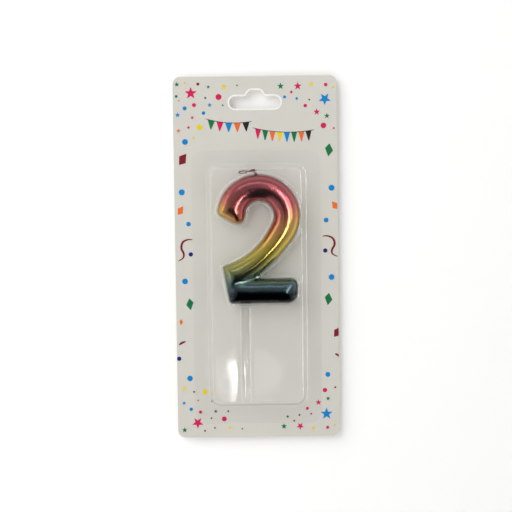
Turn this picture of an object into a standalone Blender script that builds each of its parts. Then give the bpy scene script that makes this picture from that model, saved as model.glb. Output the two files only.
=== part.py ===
"""Number candle "2" in its hanging retail pack: card, clear blister, wax figure, wick and stick.

Metres, +Z up. The pack hangs upright and faces -Y. The origin is where the peg bears on the top of
the card's hanging slot, halfway through the board. The figure is laid out around the centre of the
numeral's bowl.
"""
import math

import bmesh
import bpy
from mathutils import Matrix, Vector
from mathutils.geometry import delaunay_2d_cdt

MM = 0.001

# clearances
GAP = 0.3 * MM                 # between pieces that touch
FIGURE_BACK_GAP = 0.5 * MM     # flat back of the wax figure to the card

# backing card
CARD_WIDTH = 89.2 * MM
CARD_HEIGHT = 198 * MM
CARD_THICKNESS = 0.6 * MM
CARD_CORNER = 4 * MM
CARD_ABOVE_ORIGIN = 7.6 * MM

# hanging slot: a long slot with a raised bump in the middle
SLOT_LENGTH = 27.8 * MM
SLOT_HEIGHT = 6.6 * MM
BUMP_HEIGHT = 3.3 * MM
BUMP_WIDTH_FOOT = 10.0 * MM
BUMP_WIDTH_TOP = 6.2 * MM
BUMP_CORNER = 2.6 * MM
BUMP_FILLET = 1.0 * MM

# blister film
FILM = 0.4 * MM
FLANGE_WIDTH = 70 * MM
FLANGE_HEIGHT = 150 * MM
FLANGE_CORNER = 6.5 * MM
FLANGE_CENTRE_Z = -107.6 * MM
POCKET_WIDTH = 54 * MM
POCKET_HEIGHT = 133 * MM
POCKET_CORNER = 6.5 * MM
PLATEAU_CORNER = 5.0 * MM
POCKET_CENTRE_Z = -106.5 * MM
POCKET_DEPTH = 7.3 * MM        # flange to the plateau's outer face
POCKET_TAPER = 2.1 * MM        # each wall leans in by this much over its depth
POCKET_EDGE = 0.9 * MM         # radius of the plateau's edge
FORM_ROOT = 2.5 * MM           # the raised forms start this far in front of the flange
BOSS_DEPTH = 11.0 * MM         # flange to the outer face over the figure
BOSS_GROW = 1.2 * MM           # boss outline outside the figure's outline
BOSS_TAPER = 0.7 * MM
BOSS_EDGE = ((1.2 * MM, 0.0), (0.4 * MM, 0.4 * MM), (0.0, 1.4 * MM))  # depth below the boss's face, inset
CHANNEL_WIDTH = 7.8 * MM
CHANNEL_DEPTH = 9.0 * MM
CHANNEL_TAPER = 1.0 * MM
CHANNEL_EDGE = 1.2 * MM        # bevel along the channel's face
CHANNEL_EDGE_DEPTH = 0.8 * MM
CHANNEL_CORNER = 0.9 * MM
CHANNEL_IN_BOSS = 3.0 * MM     # length of the channel that runs up inside the boss

# wax figure
BOWL_X = 1.2 * MM
BOWL_Z = -68.3 * MM
BOWL_RADIUS = 15.5 * MM        # centreline of the bowl
HALF_STROKE = 7.2 * MM
FIGURE_DEPTH = 9.5 * MM
WALL_DEPTH = 2.5 * MM          # straight side wall before the front swells
BACK_CHAMFER = 0.4 * MM
BASE_TOP = -33.9 * MM          # base bar, from the bowl's centre
BASE_BOTTOM = -47.9 * MM
LEFT_TOP_X = -20.0 * MM        # slanting left edge of the figure
LEFT_TOP_Z = -27.6 * MM
LEFT_BOTTOM_X = -16.3 * MM
RIGHT_TOP_X = 21.5 * MM
RIGHT_BOTTOM_X = 20.6 * MM
BOWL_END = math.radians(-35)   # where the bowl runs out into the diagonal
DIAGONAL_END = (-19.2 * MM, -34.6 * MM)
DIAGONAL_ARRIVES = (-0.93, -0.37)
HOOK_OUTER = math.radians(168)  # where the hook's two edges start
HOOK_INNER = math.radians(165)
HOOK_SLOPE = (0.885, -0.466)   # along the hook's slanting end
HOOK_FOOT = (-17.5 * MM, -1.9 * MM)
HOOK_INNER_X = -8.0 * MM
HOOK_OUTER_X = -22.7 * MM
HOOK_INNER_CORNER = 4.6 * MM
HOOK_OUTER_CORNER = 3.4 * MM
HOOK_SWELL = 1.4 * MM          # the hook's inner edge bulges in by this much at its end
SWELL_START = math.radians(60)
WAIST = 1.6 * MM               # the diagonal is this much slimmer halfway down, on its upper side
LOWER_LEFT_CORNER = 2.2 * MM
LOWER_RIGHT_CORNER = 5.5 * MM
UPPER_RIGHT_CORNER = 4.0 * MM
UPPER_LEFT_CORNER = 1.2 * MM
CROTCH_FILLET = 1.8 * MM
CROTCH_SHARE = 0.8             # share of the diagonal's lower edge left straight of the crotch fillet
AFTER_CROTCH = 5.5 * MM        # corner arcs stay within these lengths of the base's corners
BEFORE_UPPER_RIGHT = 6.5 * MM
AFTER_LOWER_RIGHT = 8.0 * MM
BEFORE_LOWER_LEFT = 4.5 * MM
FRONT_SPACING = 0.55 * MM      # closest points on the swelling front
EDGE_SPACING = 1.0 * MM        # widest points along a stroke's edge
RING_STEP = math.radians(15)   # rings of the swelling front, as angles of its elliptical section

# stick
STICK_X = -7.7 * MM            # from the bowl's centre
STICK_DEPTH = 4.9 * MM         # its middle, in front of the figure's back
STICK_WIDTH_TOP = 5.6 * MM
STICK_WIDTH_TIP = 4.7 * MM
STICK_TANG = 9 * MM            # length held in the figure
STICK_REACH = 47 * MM          # length below the figure
STICK_BLADE = 1.2 * MM
STICK_RIB = 3.6 * MM
STICK_CHAMFER = 0.4 * MM
CUT_PAST = 1.0 * MM            # cutters run this far out of the wax

# wick
WICK_RADIUS = 0.5 * MM
WICK_X = -0.9 * MM             # from the bowl's centre
WICK_DEPTH = 4.1 * MM          # its middle, in front of the figure's back
WICK_SET = 12 * MM             # length sunk in the wax
WICK_FOLD_Z = 24.6 * MM        # height of the fold above the bowl's centre
WICK_SIDES = 10
WICK_END = ((-3.7 * MM, -0.3 * MM), (-6.6 * MM, -0.7 * MM), (-9.7 * MM, -0.8 * MM))  # from the fold

CARD_FRONT = -CARD_THICKNESS / 2
FLANGE_BACK = CARD_FRONT - GAP
FIGURE_BACK = CARD_FRONT - FIGURE_BACK_GAP
FIGURE_TOP = BOWL_RADIUS + HALF_STROKE


# ---- outlines in the card's plane: lists of (x, z) ----

def arc(centre, radius, start, end, steps):
    """Points on an arc from angle start to angle end."""
    angles = [start + (end - start) * i / steps for i in range(steps + 1)]
    return [(centre[0] + radius * math.cos(a), centre[1] + radius * math.sin(a)) for a in angles]


def rounded(corners, steps=5):
    """A closed outline through corners (x, z, radius), each turned with an arc of its radius."""
    outline = []
    for i, (x, z, radius) in enumerate(corners):
        corner = Vector((x, z))
        if radius == 0:
            outline.append((x, z))
            continue
        before = (Vector(corners[i - 1][:2]) - corner).normalized()
        after = (Vector(corners[(i + 1) % len(corners)][:2]) - corner).normalized()
        half_angle = before.angle(after) / 2
        reach = radius / math.tan(half_angle)
        centre = corner + (before + after).normalized() * radius / math.sin(half_angle)
        first = corner + before * reach - centre
        last = corner + after * reach - centre
        turn = first.angle_signed(last)
        for k in range(steps + 1):
            angle = -turn * k / steps
            spoke = Matrix.Rotation(angle, 2) @ first
            outline.append(tuple(centre + spoke))
    return outline


def rounded_rectangle(centre, width, height, radius, steps=6):
    x, z = centre
    w, h = width / 2, height / 2
    corners = [(x - w, z - h, radius), (x + w, z - h, radius),
               (x + w, z + h, radius), (x - w, z + h, radius)]
    return rounded(corners, steps)


def slot_outline():
    """The hanging slot: round ends, and a bump whose top is at z = 0."""
    end = SLOT_HEIGHT / 2
    top = -BUMP_HEIGHT
    middle = top - end
    side = SLOT_LENGTH / 2 - end
    foot, head = BUMP_WIDTH_FOOT / 2, BUMP_WIDTH_TOP / 2
    right = arc((side, middle), end, -math.pi / 2, math.pi / 2, 12)
    left = arc((-side, middle), end, math.pi / 2, math.pi * 3 / 2, 12)
    raised = [(foot, top, BUMP_FILLET), (head, 0, BUMP_CORNER), (-head, 0, BUMP_CORNER), (-foot, top, BUMP_FILLET)]
    return rounded([(x, z, 0) for x, z in right] + raised + [(x, z, 0) for x, z in left])


# ---- the numeral ----

def diagonal(t):
    """Centreline of the diagonal, from the bowl down to the left edge: point and unit tangent."""
    start = Vector((math.cos(BOWL_END), math.sin(BOWL_END))) * BOWL_RADIUS
    leave = Vector((math.sin(BOWL_END), -math.cos(BOWL_END)))
    end = Vector(DIAGONAL_END)
    arrive = Vector(DIAGONAL_ARRIVES).normalized()
    pull = (end - start).length / 3
    a, b, c, d = start, start + leave * pull, end - arrive * pull, end
    s = 1 - t
    point = a * s**3 + b * 3 * s * s * t + c * 3 * s * t * t + d * t**3
    slope = (b - a) * s * s + (c - b) * 2 * s * t + (d - c) * t * t
    return point, slope.normalized()


def diagonal_edge(t, offset):
    """A point beside the diagonal: offset is positive on the lower right side."""
    point, tangent = diagonal(t)
    return point + Vector((-tangent.y, tangent.x)) * offset


def left_edge_x(z):
    share = (LEFT_TOP_Z - z) / (LEFT_TOP_Z - BASE_BOTTOM)
    return LEFT_TOP_X + (LEFT_BOTTOM_X - LEFT_TOP_X) * share


def crossing(offset, beyond):
    """The share of the diagonal's edge at which beyond(point) first becomes true, by bisection."""
    low, high = 0.2, 1.3
    for _ in range(40):
        t = (low + high) / 2
        if beyond(diagonal_edge(t, offset)):
            high = t
        else:
            low = t
    return low


def hook_corners(grow):
    """The slanting end of the hook: two rounded corners, from the inner side to the outer side."""
    along = Vector(HOOK_SLOPE).normalized()
    outward = Vector((along.y, -along.x))
    foot = Vector(HOOK_FOOT) + outward * grow
    inner = foot + along * (HOOK_INNER_X + grow - foot.x) / along.x
    outer = foot + along * (HOOK_OUTER_X - grow - foot.x) / along.x
    return [(inner.x, inner.y, HOOK_INNER_CORNER + grow), (outer.x, outer.y, HOOK_OUTER_CORNER + grow)]


def bowl_inside(radius, steps):
    """The bowl's inner edge: an arc that draws in towards the hook."""
    points = []
    for i in range(steps + 1):
        angle = BOWL_END + (HOOK_INNER - BOWL_END) * i / steps
        bulge = max(0.0, (angle - SWELL_START) / (HOOK_INNER - SWELL_START))
        drawn_in = radius - HOOK_SWELL * bulge * bulge
        points.append((drawn_in * math.cos(angle), drawn_in * math.sin(angle)))
    return points


def upper_stroke_sides(grow, end_of_outer, steps):
    """Both edges of hook, bowl and diagonal: the outer one downwards, the inner one upwards."""
    half = HALF_STROKE + grow
    inner_end = crossing(-half, lambda p: p.x < left_edge_x(p.y) - grow)
    outer = arc((0, 0), BOWL_RADIUS + half, HOOK_OUTER, BOWL_END, 3 * steps)
    shares = [CROTCH_SHARE * i / (steps - 2) for i in range(1, steps - 1)]
    outer += [tuple(diagonal_edge(end_of_outer * share, half)) for share in shares]
    shares = [i / steps for i in range(steps - 1, 0, -1)]
    inner = [tuple(diagonal_edge(inner_end * t, WAIST * math.sin(math.pi * t) - half)) for t in shares]
    inner += bowl_inside(BOWL_RADIUS - half, 2 * steps)
    return outer, inner, inner_end


def plain(points):
    return [(x, z, 0) for x, z in points]


def stretch(start, end, steps):
    """The points between two ends of a straight edge."""
    return [(start[0] + (end[0] - start[0]) * i / steps, start[1] + (end[1] - start[1]) * i / steps, 0)
            for i in range(1, steps)]


def base_corners(grow):
    """Lower left, lower right and upper right corners of the base bar."""
    return [(LEFT_BOTTOM_X - grow, BASE_BOTTOM - grow, LOWER_LEFT_CORNER + grow),
            (RIGHT_BOTTOM_X + grow, BASE_BOTTOM - grow, LOWER_RIGHT_CORNER + grow),
            (RIGHT_TOP_X + grow, BASE_TOP + grow, UPPER_RIGHT_CORNER + grow)]


def numeral_outline(grow=0.0, steps=12):
    """The whole numeral, clockwise from the hook. Its point count doesn't depend on grow."""
    half = HALF_STROKE + grow
    crotch = crossing(half, lambda p: p.y < BASE_TOP + grow)
    outer, inner, inner_end = upper_stroke_sides(grow, crotch, steps)
    notch = diagonal_edge(crotch, half)
    lower_left, lower_right, upper_right = base_corners(grow)
    upper_left = diagonal_edge(inner_end, -half)
    corners = plain(outer)
    corners += [(notch.x, notch.y, CROTCH_FILLET)]
    top, bottom = upper_right[1], lower_left[1]
    corners += stretch((notch.x + AFTER_CROTCH, top), (upper_right[0] - BEFORE_UPPER_RIGHT, top), steps // 2)
    corners += [upper_right, lower_right]
    straight = ((lower_right[0] - AFTER_LOWER_RIGHT, bottom), (lower_left[0] + BEFORE_LOWER_LEFT, bottom))
    corners += stretch(*straight, steps)
    corners += [lower_left]
    corners += stretch(lower_left, upper_left, steps // 2)[1:-1]
    corners += [(upper_left.x, upper_left.y, UPPER_LEFT_CORNER + grow)]
    corners += plain(inner)
    corners += hook_corners(grow)
    return rounded(corners)


def even(outline, longest):
    """The same closed outline with points added along every edge longer than longest."""
    points = []
    for a, b in zip(outline, outline[1:] + outline[:1]):
        count = max(1, math.ceil(math.dist(a, b) / longest))
        points += [(a[0] + (b[0] - a[0]) * i / count, a[1] + (b[1] - a[1]) * i / count) for i in range(count)]
    return points


def upper_stroke_outline(steps=16):
    """Hook, bowl and diagonal as a closed outline of their own, down to the slanting left edge."""
    outer_end = crossing(HALF_STROKE, lambda p: p.x < left_edge_x(p.y))
    outer, inner, inner_end = upper_stroke_sides(0.0, outer_end, steps)
    lower, upper = diagonal_edge(outer_end, HALF_STROKE), diagonal_edge(inner_end, -HALF_STROKE)
    corners = plain(outer) + [(lower.x, lower.y, 0), (upper.x, upper.y, UPPER_LEFT_CORNER)]
    return even(rounded(corners + plain(inner) + hook_corners(0.0)), EDGE_SPACING)


def base_outline():
    """The base bar as a closed outline of its own, clockwise."""
    corners = [(left_edge_x(BASE_TOP), BASE_TOP, 0)] + base_corners(0.0)
    return even(rounded(corners[::-1], 6), EDGE_SPACING)


def distance_inside(point, outline):
    """How far a point lies inside an outline: 0 outside it."""
    x, z = point
    inside = False
    nearest = math.inf
    for (ax, az), (bx, bz) in zip(outline, outline[1:] + outline[:1]):
        if (az > z) != (bz > z) and x < ax + (bx - ax) * (z - az) / (bz - az):
            inside = not inside
        ex, ez = bx - ax, bz - az
        length = ex * ex + ez * ez
        share = max(0.0, min(1.0, ((x - ax) * ex + (z - az) * ez) / length)) if length else 0.0
        nearest = min(nearest, math.hypot(x - ax - share * ex, z - az - share * ez))
    return nearest if inside else 0.0


# ---- meshes ----

def ring(outline, depth):
    """An outline set depth in front of the card's middle plane."""
    return [Vector((x, -depth, z)) for x, z in outline]


def shifted(outline, x, z):
    return [(px + x, pz + z) for px, pz in outline]


def loft(rings):
    """A closed body through rings of equally many points, capped at both ends."""
    bm = bmesh.new()
    loops = [[bm.verts.new(point) for point in points] for points in rings]
    for lower, upper in zip(loops, loops[1:]):
        for i in range(len(lower)):
            j = (i + 1) % len(lower)
            bm.faces.new((lower[i], lower[j], upper[j], upper[i]))
    bm.faces.new(loops[0])
    bm.faces.new(loops[-1])
    return bm


def finish_mesh(bm, name, smooth_angle=None):
    """A mesh object from bm, facing out; faces meeting below smooth_angle are shaded smooth."""
    bmesh.ops.recalc_face_normals(bm, faces=bm.faces)
    mesh = bpy.data.meshes.new(name)
    bm.to_mesh(mesh)
    bm.free()
    if smooth_angle is not None:
        mesh.shade_smooth()
        mesh.set_sharp_from_angle(angle=math.radians(smooth_angle))
    piece = bpy.data.objects.new(name, mesh)
    bpy.context.scene.collection.objects.link(piece)
    return piece


def box(low, high):
    bm = bmesh.new()
    bmesh.ops.create_cube(bm, size=1)
    size = Vector(high) - Vector(low)
    middle = (Vector(high) + Vector(low)) / 2
    bmesh.ops.transform(bm, matrix=Matrix.Translation(middle) @ Matrix.Diagonal((*size, 1)), verts=bm.verts)
    return bm


def tube(path, radius, sides):
    """A round cord along a path in the card's plane, with round ends."""
    across = Vector((0, 1, 0))
    rings = []

    def turn(point, along, size):
        side = along.cross(across).normalized()
        angles = [2 * math.pi * i / sides for i in range(sides)]
        rings.append([point + (side * math.cos(a) + across * math.sin(a)) * size for a in angles])

    count = len(path)
    for i, point in enumerate(path):
        along = (path[min(i + 1, count - 1)] - path[max(i - 1, 0)]).normalized()
        ends = [math.radians(a) for a in (75, 50, 25)]
        if i == 0:
            for a in ends:
                turn(point - along * radius * math.sin(a), along, radius * math.cos(a))
        turn(point, along, radius)
        if i == count - 1:
            for a in reversed(ends):
                turn(point + along * radius * math.sin(a), along, radius * math.cos(a))
    return loft(rings)


def cut(piece, cutter_bm, name, operation="DIFFERENCE"):
    """Adds or takes away a guide body with an exact Boolean."""
    guide = finish_mesh(cutter_bm, name)
    guide.hide_render = True
    guide.display_type = "WIRE"
    step = piece.modifiers.new(name, "BOOLEAN")
    step.operation = operation
    step.solver = "EXACT"
    step.object = guide


def material(name, colour, roughness, metallic=0.0, transmission=0.0):
    surface = bpy.data.materials.new(name)
    surface.use_nodes = True
    shader = surface.node_tree.nodes["Principled BSDF"]
    shader.inputs["Base Color"].default_value = (*colour, 1)
    shader.inputs["Roughness"].default_value = roughness
    shader.inputs["Metallic"].default_value = metallic
    shader.inputs["Transmission Weight"].default_value = transmission
    return surface


# ---- the pieces ----

def make_card():
    """Coated paperboard with rounded corners and the hanging slot punched through."""
    centre = (0, CARD_ABOVE_ORIGIN - CARD_HEIGHT / 2)
    outline = rounded_rectangle(centre, CARD_WIDTH, CARD_HEIGHT, CARD_CORNER)
    card = finish_mesh(loft([ring(outline, -CARD_THICKNESS / 2), ring(outline, CARD_THICKNESS / 2)]),
                       "backing_card")
    slot = slot_outline()
    cut(card, loft([ring(slot, -CARD_THICKNESS), ring(slot, CARD_THICKNESS)]), "slot_cutter")
    card.data.materials.append(material("card_print", (0.62, 0.60, 0.55), 0.45))
    return card


def pocket_rings(wall, back):
    """The pocket's drafted walls and rounded plateau edge, wall inside its outer face."""
    depth = -FLANGE_BACK + POCKET_DEPTH - wall
    rings = [ring(rounded_rectangle((0, POCKET_CENTRE_Z), POCKET_WIDTH - 2 * wall,
                                    POCKET_HEIGHT - 2 * wall, POCKET_CORNER), back)]
    for angle in (0, 45, 90):
        turn = math.radians(angle)
        inset = wall + POCKET_TAPER + POCKET_EDGE * (1 - math.cos(turn))
        level = depth - POCKET_EDGE * (1 - math.sin(turn))
        outline = rounded_rectangle((0, POCKET_CENTRE_Z), POCKET_WIDTH - 2 * inset,
                                    POCKET_HEIGHT - 2 * inset, PLATEAU_CORNER)
        rings.append(ring(outline, level))
    return rings


def boss_rings(wall, back):
    """The raised form over the numeral, wall inside its outer face."""
    front = -FLANGE_BACK + BOSS_DEPTH - wall
    levels = [(back, BOSS_GROW + BOSS_TAPER)]
    levels += [(front - below, BOSS_GROW - inset) for below, inset in BOSS_EDGE]
    return [ring(shifted(numeral_outline(grow - wall), BOWL_X, BOWL_Z), depth) for depth, grow in levels]


def channel_rings(wall, back):
    """The shallow raised channel over the stick, from the boss to the foot of the plateau."""
    front = -FLANGE_BACK + CHANNEL_DEPTH - wall
    top = BOWL_Z + BASE_BOTTOM + CHANNEL_IN_BOSS
    foot = POCKET_CENTRE_Z - POCKET_HEIGHT / 2 + POCKET_TAPER + wall
    rings = []
    levels = [(back, 0.0), (front - CHANNEL_EDGE_DEPTH, CHANNEL_TAPER), (front, CHANNEL_TAPER + CHANNEL_EDGE)]
    for depth, narrower in levels:
        width = CHANNEL_WIDTH - 2 * wall - 2 * narrower
        low = foot + narrower
        centre = (BOWL_X + STICK_X, (top + low) / 2)
        rings.append(ring(rounded_rectangle(centre, width, top - low, CHANNEL_CORNER, 3), depth))
    return rings


def make_blister():
    """Clear thermoformed film: sealed flange, pocket, and raised forms over the figure and the stick."""
    flange = rounded_rectangle((0, FLANGE_CENTRE_Z), FLANGE_WIDTH, FLANGE_HEIGHT, FLANGE_CORNER)
    flange_back = -FLANGE_BACK
    shell = finish_mesh(loft([ring(flange, flange_back), ring(flange, flange_back + FILM)]), "blister_shell")
    inside = flange_back + FORM_ROOT
    cut(shell, loft(pocket_rings(0, flange_back + FILM / 2)), "pocket_outer", "UNION")
    cut(shell, loft(boss_rings(0, inside)), "boss_outer", "UNION")
    cut(shell, loft(channel_rings(0, inside)), "channel_outer", "UNION")
    cut(shell, loft(pocket_rings(FILM, flange_back - GAP / 2)), "pocket_inner")
    cut(shell, loft(boss_rings(FILM, inside)), "boss_inner")
    cut(shell, loft(channel_rings(FILM, inside)), "channel_inner")
    shell.data.materials.append(material("clear_film", (0.9, 0.92, 0.9), 0.05, transmission=0.9))
    return shell


def swell(inside):
    """Depth of the figure a distance inside a stroke's edge: a straight wall, then half an ellipse."""
    share = min(inside / HALF_STROKE, 1.0)
    return WALL_DEPTH + (FIGURE_DEPTH - WALL_DEPTH) * math.sqrt(1 - (1 - share) ** 2)


def front_points(strokes, spacing):
    """Points over the swelling front, in rings that follow each stroke's outline."""
    kept = []
    for number, outline in enumerate(strokes):
        others = strokes[:number] + strokes[number + 1:]
        angle = RING_STEP
        while angle <= math.pi / 2 + 0.01:
            depth = HALF_STROKE * (1 - math.cos(angle))
            for before, here, after in zip([outline[-1]] + outline, outline, outline[1:] + outline[:1]):
                along = (Vector(after) - Vector(before)).normalized()
                point = Vector(here) + Vector((along.y, -along.x)) * depth
                if distance_inside(point, outline) < 0.95 * depth:
                    continue
                if any(distance_inside(point, other) > depth for other in others):
                    continue
                if all((point - other).length > spacing for other in kept):
                    kept.append(point)
            angle += RING_STEP
    return kept


def make_figure():
    """Wax numeral with a flat back and a rounded front, with a socket for the stick and a hole for the wick."""
    outline = numeral_outline()
    strokes = [upper_stroke_outline(), base_outline()]
    inner = front_points(strokes, FRONT_SPACING)
    count = len(outline)
    edges = [(i, (i + 1) % count) for i in range(count)]
    flat = [Vector(p) for p in outline] + inner
    points, _, faces, *_ = delaunay_2d_cdt(flat, edges, [], 1, 1e-7)
    bm = bmesh.new()
    front = []
    for x, z in points:
        depth = max(swell(distance_inside((x, z), stroke)) for stroke in strokes)
        front.append(bm.verts.new((x + BOWL_X, FIGURE_BACK - depth, z + BOWL_Z)))
    for face in faces:
        bm.faces.new([front[i] for i in face])
    wall = front[:count]
    for depth, grow in ((BACK_CHAMFER, 0.0), (0.0, -BACK_CHAMFER)):
        placed = shifted(numeral_outline(grow), BOWL_X, BOWL_Z)
        loop = [bm.verts.new(point) for point in ring(placed, depth - FIGURE_BACK)]
        for i, j in edges:
            bm.faces.new((wall[i], wall[j], loop[j], loop[i]))
        wall = loop
    bm.faces.new(wall)
    figure = finish_mesh(bm, "wax_figure_two", 50)
    add_socket(figure)
    add_wick_hole(figure)
    figure.data.materials.append(material("lacquered_wax", (0.55, 0.30, 0.10), 0.2, metallic=1.0))
    return figure


def add_socket(figure):
    """A cross-shaped socket in the foot of the base, clear of the stick all round."""
    x = BOWL_X + STICK_X
    y = FIGURE_BACK - STICK_DEPTH
    low = BOWL_Z + BASE_BOTTOM - CUT_PAST
    high = BOWL_Z + BASE_BOTTOM + STICK_TANG + GAP
    half_width = STICK_WIDTH_TOP / 2 + GAP
    half_blade = STICK_BLADE / 2 + GAP
    half_rib = STICK_RIB / 2 + GAP
    cut(figure, box((x - half_width, y - half_blade, low), (x + half_width, y + half_blade, high)), "socket_blade")
    cut(figure, box((x - half_blade, y - half_rib, low), (x + half_blade, y + half_rib, high)), "socket_rib")


def add_wick_hole(figure):
    x, y = BOWL_X + WICK_X, FIGURE_BACK - WICK_DEPTH
    low = BOWL_Z + FIGURE_TOP - WICK_SET - GAP
    high = BOWL_Z + FIGURE_TOP + CUT_PAST
    sides = [2 * math.pi * i / WICK_SIDES for i in range(WICK_SIDES)]
    radius = WICK_RADIUS + GAP
    rings = [[Vector((x + radius * math.cos(a), y + radius * math.sin(a), z)) for a in sides] for z in (low, high)]
    cut(figure, loft(rings), "wick_hole")


def cross_section(width, z, inset=0.0):
    """The stick's cross-shaped section at height z."""
    w, b, r = width / 2 - inset, STICK_BLADE / 2 - inset, STICK_RIB / 2 - inset
    quarter = [(w, b), (b, b), (b, r)]
    corners = quarter + [(-x, y) for x, y in reversed(quarter)]
    corners += [(-x, -y) for x, y in corners]
    middle = Vector((BOWL_X + STICK_X, FIGURE_BACK - STICK_DEPTH, z))
    return [middle + Vector((x, y, 0)) for x, y in corners]


def make_stick():
    """Clear moulded pick with a central rib on both faces, tapering to a blunt tip."""
    foot = BOWL_Z + BASE_BOTTOM
    tip = foot - STICK_REACH
    levels = [(STICK_WIDTH_TIP, tip, STICK_CHAMFER), (STICK_WIDTH_TIP, tip + STICK_CHAMFER, 0),
              (STICK_WIDTH_TOP, foot - GAP, 0), (STICK_WIDTH_TOP, foot + STICK_TANG, 0)]
    stick = finish_mesh(loft([cross_section(*level) for level in levels]), "plastic_stick")
    stick.data.materials.append(material("clear_plastic", (0.92, 0.93, 0.92), 0.08, transmission=0.9))
    return stick


def make_wick():
    """The wick in two lengths: the core set in the wax, and the folded end that bends up to be lit."""
    x, y = BOWL_X + WICK_X, FIGURE_BACK - WICK_DEPTH
    fold = Vector((x, y, BOWL_Z + WICK_FOLD_Z))
    low = Vector((x, y, BOWL_Z + FIGURE_TOP - WICK_SET + WICK_RADIUS))
    cotton = material("waxed_cotton", (0.24, 0.05, 0.04), 0.7)
    core = finish_mesh(tube([low, (low + fold) / 2, fold], WICK_RADIUS, WICK_SIDES), "wick_core", 60)
    core.data.materials.append(cotton)
    clear = 2 * WICK_RADIUS + GAP
    end_points = [(-clear, 0.1 * MM), *WICK_END]
    hinge = bpy.data.objects.new("wick_fold", None)
    hinge.location = fold
    bpy.context.scene.collection.objects.link(hinge)
    end = finish_mesh(tube([Vector((px, 0, pz)) for px, pz in end_points], WICK_RADIUS, WICK_SIDES),
                      "wick_end", 60)
    end.parent = hinge
    end.data.materials.append(cotton)


def main():
    for leftover in list(bpy.data.objects):
        bpy.data.objects.remove(leftover)
    make_card()
    make_blister()
    make_figure()
    make_stick()
    make_wick()


main()
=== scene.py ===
"""Looks of the number candle "2" in its hanging retail pack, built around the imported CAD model.

Metres in the shared frame: +Z up, the pack faces -Y, the origin is at the top of the hanging slot.
Outlines are worked out in millimetres in the card's plane (x to the right, z up).
"""
import math
import random

import bmesh
import bpy
import numpy as np
from mathutils import Matrix, Vector
from mathutils.geometry import delaunay_2d_cdt


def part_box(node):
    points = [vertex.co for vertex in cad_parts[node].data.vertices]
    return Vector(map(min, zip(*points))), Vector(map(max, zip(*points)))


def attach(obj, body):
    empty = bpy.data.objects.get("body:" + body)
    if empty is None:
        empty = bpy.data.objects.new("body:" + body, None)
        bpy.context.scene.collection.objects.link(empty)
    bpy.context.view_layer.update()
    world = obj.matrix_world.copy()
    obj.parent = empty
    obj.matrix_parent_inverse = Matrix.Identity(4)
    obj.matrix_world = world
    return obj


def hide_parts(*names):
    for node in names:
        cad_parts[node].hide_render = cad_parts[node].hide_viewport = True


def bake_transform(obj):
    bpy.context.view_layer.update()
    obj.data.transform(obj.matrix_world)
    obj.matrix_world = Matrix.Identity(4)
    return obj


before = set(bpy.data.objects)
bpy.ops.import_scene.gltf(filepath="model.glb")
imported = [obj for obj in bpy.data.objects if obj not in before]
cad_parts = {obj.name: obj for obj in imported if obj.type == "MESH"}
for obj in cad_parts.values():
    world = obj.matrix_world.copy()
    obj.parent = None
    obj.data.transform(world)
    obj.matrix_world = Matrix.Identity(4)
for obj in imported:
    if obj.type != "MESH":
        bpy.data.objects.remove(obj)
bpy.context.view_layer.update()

MM = 0.001

# card, from its CAD node
CARD_LOW, CARD_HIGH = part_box("backing_card")
CARD_LEFT, CARD_TOP = CARD_LOW.x / MM, CARD_HIGH.z / MM
CARD_FRONT = -CARD_LOW.y / MM  # depth of the printed face in front of the origin plane
PRINT_THICKNESS = 0.03
PRINT_SINK = 0.01

# hanging slot
SLOT_LENGTH, SLOT_HEIGHT = 27.8, 6.6
BUMP_HEIGHT, BUMP_FOOT, BUMP_HEAD = 3.3, 10.0, 6.2
BUMP_CORNER, BUMP_FILLET = 2.6, 1.0
SLOT_RIM = 0.95

# blister film: depths are in front of the card's middle plane
FILM = 0.4
FLANGE_DEPTH = 1.0
FLANGE = (0, -107.6, 70, 150, 6.5)  # centre x, centre z, width, height, corner
POCKET = (0, -106.5, 54, 133, 6.5)
PLATEAU_DEPTH = 7.9
BOSS_DEPTH = 11.6
CHANNEL = (-6.5, -142.05, 7.8, 57.7, 0.9)
CHANNEL_DEPTH = 9.6

# wax figure
BOWL_X, BOWL_Z = 1.2, -68.3
BOWL_RADIUS, HALF_STROKE = 15.5, 7.2
FIGURE_BACK = 0.8
FIGURE_DEPTH, WALL_DEPTH, BACK_CHAMFER = 9.5, 2.5, 0.4
BASE_TOP, BASE_BOTTOM = -33.9, -47.9
LEFT_TOP_X, LEFT_TOP_Z, LEFT_BOTTOM_X = -20.0, -27.6, -16.3
RIGHT_TOP_X, RIGHT_BOTTOM_X = 21.5, 20.6
BOWL_END = math.radians(-35)  # where the bowl runs out into the diagonal
DIAGONAL_END, DIAGONAL_ARRIVES = (-19.2, -34.6), (-0.93, -0.37)
HOOK_OUTER, HOOK_INNER = math.radians(168), math.radians(165)
HOOK_SLOPE, HOOK_FOOT = (0.885, -0.466), (-17.5, -1.9)
HOOK_INNER_X, HOOK_OUTER_X = -8.0, -22.7
HOOK_INNER_CORNER, HOOK_OUTER_CORNER = 4.6, 3.4
HOOK_SWELL, SWELL_START = 1.4, math.radians(60)
WAIST = 1.6  # how much slimmer the diagonal is halfway down
LOWER_LEFT_CORNER, LOWER_RIGHT_CORNER = 2.2, 5.5
UPPER_LEFT_CORNER, UPPER_RIGHT_CORNER = 1.2, 4.0
CROTCH_FILLET, CROTCH_SHARE = 1.8, 0.8
AFTER_CROTCH, BEFORE_UPPER_RIGHT = 5.5, 6.5  # corner arcs stay within these lengths
AFTER_LOWER_RIGHT, BEFORE_LOWER_LEFT = 8.0, 4.5

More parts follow.
